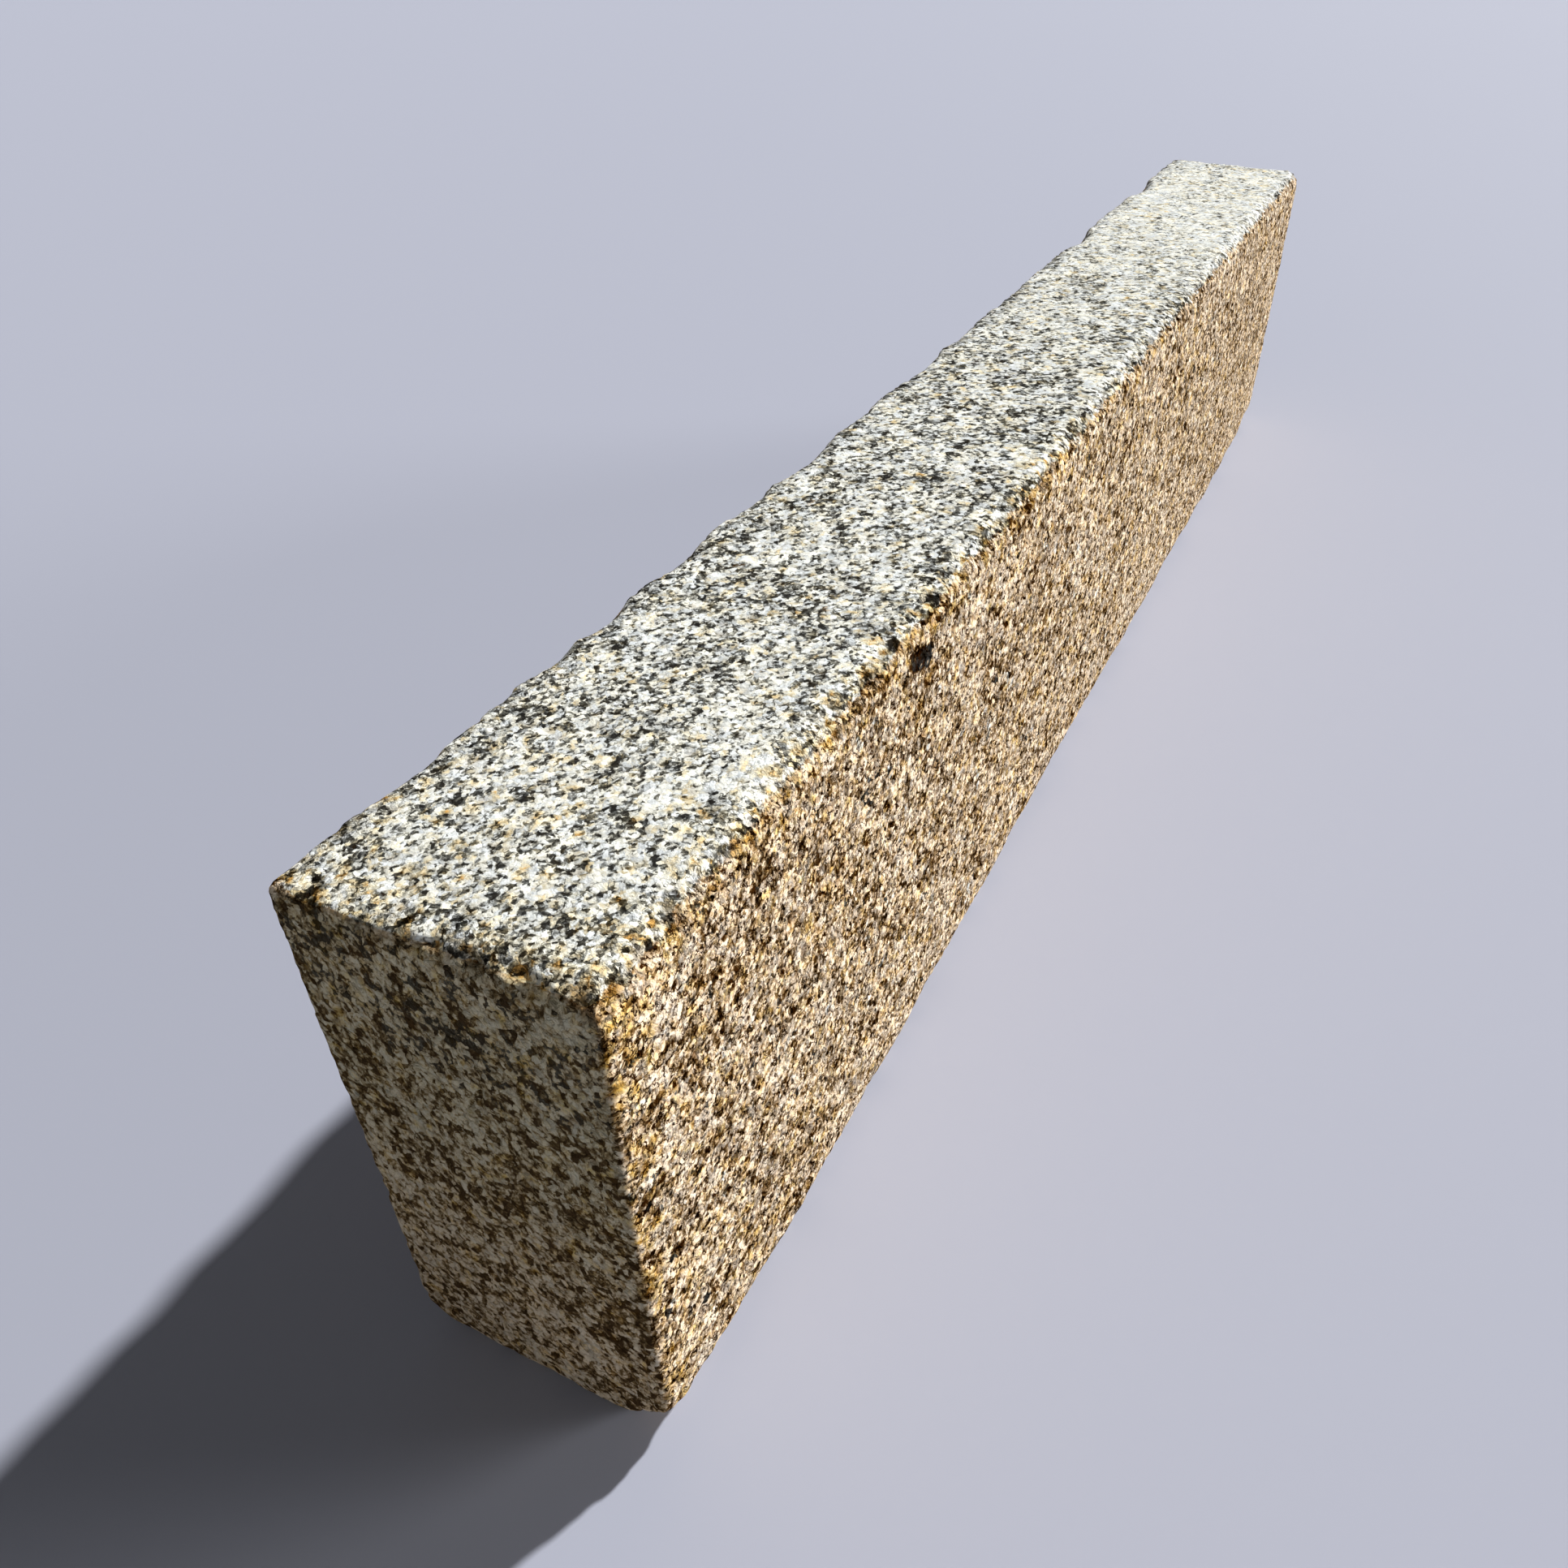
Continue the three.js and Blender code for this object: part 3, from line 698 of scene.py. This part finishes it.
# Ranges of one value over which another comes in: (from, to), or (from, to, value before, value after).
# First those of the outward direction: its length once it is evened out, which drops at an arris, how far
# it points up, and how far along the stone.
ARRIS_TURN = (0.985, 0.86)
MARGIN_TURN = (0.985, 0.84)
WASH_UP = (0.42, 0.92)
HEAD_UP = (0.30, 0.72)
HEAD_EDGE_UP = (0.05, 0.45, 0.12, 1.0)
BED_UP = (-0.5, -0.9)
END_ALONG = (0.55, 0.90)
# Then those of the place across the stone, in metres, and of the patterns.
CRUMBLE_Y = (0.0, 0.03, 1.0, 0.35)
PIT_RIM = (0.40, 0.12)
PIT_SHARE = (0.42, 0.30)
KNOCKED = (0.38, 0.66)
# CRUMB_SHADE_AND_DIRT sets where the creases among the edge crumbs are darkened, as painted shade with some
# dirt.
CRUMB_SHADE_AND_DIRT = (0.20, 0.50)

BOWL_POWER = 2.0
CRUMB_CREASE_SIZE = 0.55
KNOCK_DEPTH = 0.9
CREASE_DEPTH = 0.6
BED_SPARED = 0.8


def skin_marks(wires, position):
    """What part of the stone each point of the skin is on, and the evened outward direction there."""
    soft = wires.blurred(wires.node("GeometryNodeInputNormal").outputs["Normal"], SOFT_ROUNDS)
    softer = wires.blurred(soft, MARGIN_ROUNDS)
    outward = wires.vector("NORMALIZE", soft)
    facing = wires.split(outward)
    arris = wires.ramp(wires.vector("LENGTH", soft), *ARRIS_TURN)
    crumbly = wires.math("MULTIPLY", arris, wires.ramp(facing[2], *HEAD_EDGE_UP))
    return {
        "outward": outward,
        "margin": wires.ramp(wires.vector("LENGTH", softer), *MARGIN_TURN),
        "wash": wires.ramp(wires.split(wires.vector("NORMALIZE", softer))[2], *WASH_UP),
        "end": wires.ramp(wires.math("ABSOLUTE", facing[0]), *END_ALONG),
        "head": wires.ramp(facing[2], *HEAD_UP),
        "bed": wires.ramp(facing[2], *BED_UP),
        "crumbly": wires.math("MULTIPLY", crumbly, wires.ramp(wires.split(position)[1], *CRUMBLE_Y)),
    }


def relief_depth(wires, position, given, marks):
    """How deep each point is sunk, and how far it lies in a pit."""
    place = wires.vector("ADD", position, RELIEF_SEED)
    ragged = wires.wander(place, *RELIEF_EDGE)
    knob = wires.math("POWER", wires.cells(ragged, given["Knob Size"])[0], BOWL_POWER)
    knobs = wires.math("MULTIPLY", knob, given["Knob Relief"])
    distance, numbers, _ = wires.cells(ragged, given["Pit Size"])
    pit = wires.math("MULTIPLY", wires.ramp(distance, *PIT_RIM), wires.ramp(numbers[0], *PIT_SHARE))
    pits = wires.math("MULTIPLY", pit, given["Pit Depth"])
    dint = wires.noise(place, given["Dint Size"], detail=3.0, roughness=0.55)[0]
    dints = wires.math("MULTIPLY", dint, given["Dint Depth"])
    knock = wires.ramp(wires.noise(ragged, given["Crumble Size"])[0], *KNOCKED)
    crease_size = wires.math("MULTIPLY", given["Crumble Size"], CRUMB_CREASE_SIZE)
    crease = wires.math("POWER", wires.cells(ragged, crease_size)[0], BOWL_POWER)
    crumb = wires.lean(wires.math("MULTIPLY", crease, CREASE_DEPTH), knock, KNOCK_DEPTH)
    crumbs = wires.product(crumb, marks["crumbly"], given["Crumble Depth"])

    kept = wires.opposite(wires.math("MULTIPLY", marks["head"], given["Head Wear"]))
    depth = wires.math("ADD", wires.math("ADD", knobs, pits), dints)
    depth = wires.math("ADD", wires.math("MULTIPLY", depth, kept), crumbs)
    depth = wires.math(
        "MULTIPLY", depth, wires.opposite(wires.math("MULTIPLY", marks["bed"], BED_SPARED)))
    # crumb_pit marks the creases among the edge crumbs, which the granite darkens as painted shade with
    # some dirt.
    crumb_pit = wires.math("MULTIPLY", marks["crumbly"], wires.ramp(crease, *CRUMB_SHADE_AND_DIRT))
    return depth, wires.math("MAXIMUM", wires.math("MULTIPLY", pit, kept), crumb_pit)


def relief_tree():
    """Sinks knobs, pits, dints and edge crumbs into a stone's skin, and marks where they are."""
    tree = bpy.data.node_groups.new("weathered_relief", "GeometryNodeTree")
    wires = Wiring(tree)
    tree.interface.new_socket("Geometry", in_out="INPUT", socket_type="NodeSocketGeometry")
    for name, _ in RELIEF_INPUTS:
        tree.interface.new_socket(name, in_out="INPUT", socket_type="NodeSocketFloat")
    tree.interface.new_socket("Granite", in_out="INPUT", socket_type="NodeSocketMaterial")
    tree.interface.new_socket("Geometry", in_out="OUTPUT", socket_type="NodeSocketGeometry")
    given = wires.node("NodeGroupInput").outputs

    position = wires.node("GeometryNodeInputPosition").outputs[0]
    skin = wires.node("GeometryNodeSetPosition", {
        "Geometry": given["Geometry"], "Position": wires.blurred(position, SKIN_ROUNDS)}).outputs[0]
    marks = skin_marks(wires, position)
    depth, pit = relief_depth(wires, position, given, marks)
    stored = {"margin": marks["margin"], "wash": marks["wash"], "end": marks["end"], "pit": pit}

    # Everything is read off the skin before it is sunk.
    sunk = wires.node("GeometryNodeCaptureAttribute", {"Geometry": skin})
    shown = {}
    for name, value in {"outward": marks["outward"], "depth": depth, **stored}.items():
        sunk.capture_items.new("VECTOR" if name == "outward" else "FLOAT", name)
        wires.feed(sunk.inputs[name], value)
        shown[name] = sunk.outputs[name]
    inward = wires.vector("SCALE", shown["outward"], scale=wires.math("MULTIPLY", shown["depth"], -1.0))
    cut = wires.node("GeometryNodeSetPosition", {
        "Geometry": sunk.outputs["Geometry"], "Offset": inward}).outputs[0]
    for name in stored:
        cut = wires.node(
            "GeometryNodeStoreNamedAttribute", {"Geometry": cut, "Name": name, "Value": shown[name]},
            data_type="FLOAT", domain="POINT").outputs[0]
    cut = wires.node("GeometryNodeSetShadeSmooth", {"Geometry": cut}).outputs[0]
    cut = wires.node("GeometryNodeRealizeInstances", {"Geometry": cut}).outputs[0]
    cut = wires.node("GeometryNodeSetMaterial", {"Geometry": cut, "Material": given["Granite"]}).outputs[0]
    wires.node("NodeGroupOutput", {"Geometry": cut})
    return tree


def merged_copy(node, name):
    """A copy of a CAD node's mesh in a new object, with its loose triangles joined."""
    shape = bmesh.new()
    shape.from_mesh(node.data)
    bmesh.ops.remove_doubles(shape, verts=shape.verts, dist=MERGE_REACH)
    mesh = bpy.data.meshes.new(name)
    shape.to_mesh(mesh)
    shape.free()
    piece = bpy.data.objects.new(name, mesh)
    bpy.context.scene.collection.objects.link(piece)
    return piece


def flatten(piece):
    """Makes the piece's modifiers part of a plain mesh."""
    graph = bpy.context.evaluated_depsgraph_get()
    mesh = bpy.data.meshes.new_from_object(piece.evaluated_get(graph), depsgraph=graph)
    piece.modifiers.clear()
    piece.data = mesh
    mesh.name = piece.name


class KERB_OT_stone(bpy.types.Operator):
    """Gives the plain stone its weathered granite skin"""

    bl_idname = "kerb.stone"
    bl_label = "Kerb Stone"

    def execute(self, context):
        sizes = context.scene.kerb_stone_sizes
        piece = merged_copy(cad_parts[BLANK], DRESSED)
        remesh = piece.modifiers.new("skin", "REMESH")
        remesh.mode = "VOXEL"
        remesh.voxel_size = sizes.skin_pitch
        flatten(piece)

        relief = piece.modifiers.new("relief", "NODES")
        tree = relief_tree()
        relief.node_group = tree
        sockets = {
            item.name: item.identifier for item in tree.interface.items_tree if item.in_out == "INPUT"}
        for name, setting in RELIEF_INPUTS:
            relief[sockets[name]] = getattr(sizes, setting)
        relief[sockets["Granite"]] = Granite(context.scene.kerb_granite).material
        flatten(piece)
        triangles = sum(len(face.vertices) - 2 for face in piece.data.polygons)
        if not triangles:
            raise RuntimeError("the stone's skin came out empty")
        thin = piece.modifiers.new("thin", "DECIMATE")
        thin.ratio = min(1.0, sizes.triangle_limit / triangles)
        flatten(piece)

        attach(piece, "root")
        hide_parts(BLANK)
        return {"FINISHED"}


# ---------------------------------------------------------------- stage

FLOOR_REACH = 14.0
FLOOR_ROUGHNESS = 0.9
SIDE_SPREAD = math.radians(24)
SIDE_BEARING = math.radians(-52)
SIDE_HEIGHT = math.radians(6)
END_SPREAD = math.radians(50)
END_BEARING = math.radians(180)
END_HEIGHT = math.radians(10)
SENSOR_WIDTH = 36
NEAREST_SEEN = 0.01
FARTHEST_SEEN = 60


def plain_material(name, colour, roughness):
    """One even colour."""
    material = bpy.data.materials.new(name)
    material.use_nodes = True
    wires = Wiring(material.node_tree)
    surface = wires.node("ShaderNodeBsdfPrincipled", {"Base Color": colour, "Roughness": roughness})
    wires.node("ShaderNodeOutputMaterial", {"Surface": surface.outputs["BSDF"]})
    return material


def add_floor(stage):
    """The plain floor that the stone stands on."""
    mesh = bpy.data.meshes.new("floor")
    mesh.from_pydata([
        (-FLOOR_REACH, -FLOOR_REACH, 0), (FLOOR_REACH, -FLOOR_REACH, 0),
        (FLOOR_REACH, FLOOR_REACH, 0), (-FLOOR_REACH, FLOOR_REACH, 0)], [], [(0, 1, 2, 3)])
    floor = bpy.data.objects.new("floor", mesh)
    mesh.materials.append(plain_material("floor", stage.floor_colour, FLOOR_ROUGHNESS))
    bpy.context.scene.collection.objects.link(floor)


def add_lamp(name, strength, spread, bearing, height):
    """A distant lamp that shines from a bearing and a height towards the middle of the stone."""
    level = math.cos(height)
    towards = Vector((level * math.cos(bearing), level * math.sin(bearing), math.sin(height)))
    light = bpy.data.lights.new(name, "SUN")
    light.energy = strength
    light.angle = spread
    lamp = bpy.data.objects.new(name, light)
    lamp.location = towards
    lamp.rotation_euler = towards.to_track_quat("Z", "Y").to_euler()
    bpy.context.scene.collection.objects.link(lamp)


def backdrop(stage):
    """A dim even light from all round, with a plain pale colour where it is looked at."""
    world = bpy.data.worlds.new("backdrop")
    world.use_nodes = True
    wires = Wiring(world.node_tree)
    path = wires.node("ShaderNodeLightPath").outputs
    seen = wires.math("MAXIMUM", path["Is Camera Ray"], wires.math(
        "MAXIMUM", path["Is Glossy Ray"], path["Is Transmission Ray"]))
    fill = wires.node("ShaderNodeBackground", {"Color": (1.0, 1.0, 1.0), "Strength": stage.fill_strength})
    beyond = wires.node("ShaderNodeBackground", {"Color": stage.sky_colour, "Strength": 1.0})
    both = wires.node("ShaderNodeMixShader", {0: seen, 1: fill.outputs[0], 2: beyond.outputs[0]})
    wires.node("ShaderNodeOutputWorld", {"Surface": both.outputs[0]})
    return world


def add_camera(stage):
    """The camera that the scene is looked at with."""
    camera = bpy.data.objects.new("camera", bpy.data.cameras.new("camera"))
    camera.location = stage.camera_place
    camera.rotation_euler = Euler(stage.camera_turn)
    camera.data.lens = stage.camera_lens
    camera.data.sensor_width = SENSOR_WIDTH
    camera.data.clip_start = NEAREST_SEEN
    camera.data.clip_end = FARTHEST_SEEN
    bpy.context.scene.collection.objects.link(camera)
    return camera


class KERB_OT_stage(bpy.types.Operator):
    """Sets up the floor, the light and the camera"""

    bl_idname = "kerb.stage"
    bl_label = "Stage"

    def execute(self, context):
        stage = context.scene.kerb_stage
        add_floor(stage)
        add_lamp("key", stage.key_strength, stage.key_spread, stage.key_bearing, stage.key_height)
        add_lamp("side", stage.side_strength, SIDE_SPREAD, SIDE_BEARING, SIDE_HEIGHT)
        add_lamp("end", stage.end_strength, END_SPREAD, END_BEARING, END_HEIGHT)
        context.scene.world = backdrop(stage)
        context.scene.camera = add_camera(stage)
        context.scene.view_settings.view_transform = "Standard"
        return {"FINISHED"}


# ---------------------------------------------------------------- add-on

class KERB_PT_panel(bpy.types.Panel):
    """Lists the stone and its stage in the sidebar"""

    bl_label = "Kerb Stone"
    bl_idname = "KERB_PT_panel"
    bl_space_type = "VIEW_3D"
    bl_region_type = "UI"
    bl_category = "Kerb Stone"

    def draw(self, context):
        for operator, group in (
                (KERB_OT_stone, "kerb_stone_sizes"), (None, "kerb_granite"), (KERB_OT_stage, "kerb_stage")):
            box = self.layout.box()
            settings = getattr(context.scene, group)
            for name in settings.__annotations__:
                box.prop(settings, name)
            if operator:
                box.operator(operator.bl_idname)


GROUPS = (
    ("kerb_stone_sizes", StoneSettings), ("kerb_granite", GraniteSettings), ("kerb_stage", StageSettings))
CLASSES = (StoneSettings, GraniteSettings, StageSettings, KERB_OT_stone, KERB_OT_stage, KERB_PT_panel)


def register():
    for cls in CLASSES:
        bpy.utils.register_class(cls)
    for name, group in GROUPS:
        setattr(bpy.types.Scene, name, bpy.props.PointerProperty(type=group))


def unregister():
    for name, _ in GROUPS:
        delattr(bpy.types.Scene, name)
    for cls in reversed(CLASSES):
        bpy.utils.unregister_class(cls)


def main():
    register()
    bpy.ops.kerb.stone()
    bpy.ops.kerb.stage()


if __name__ == "__main__":
    main()
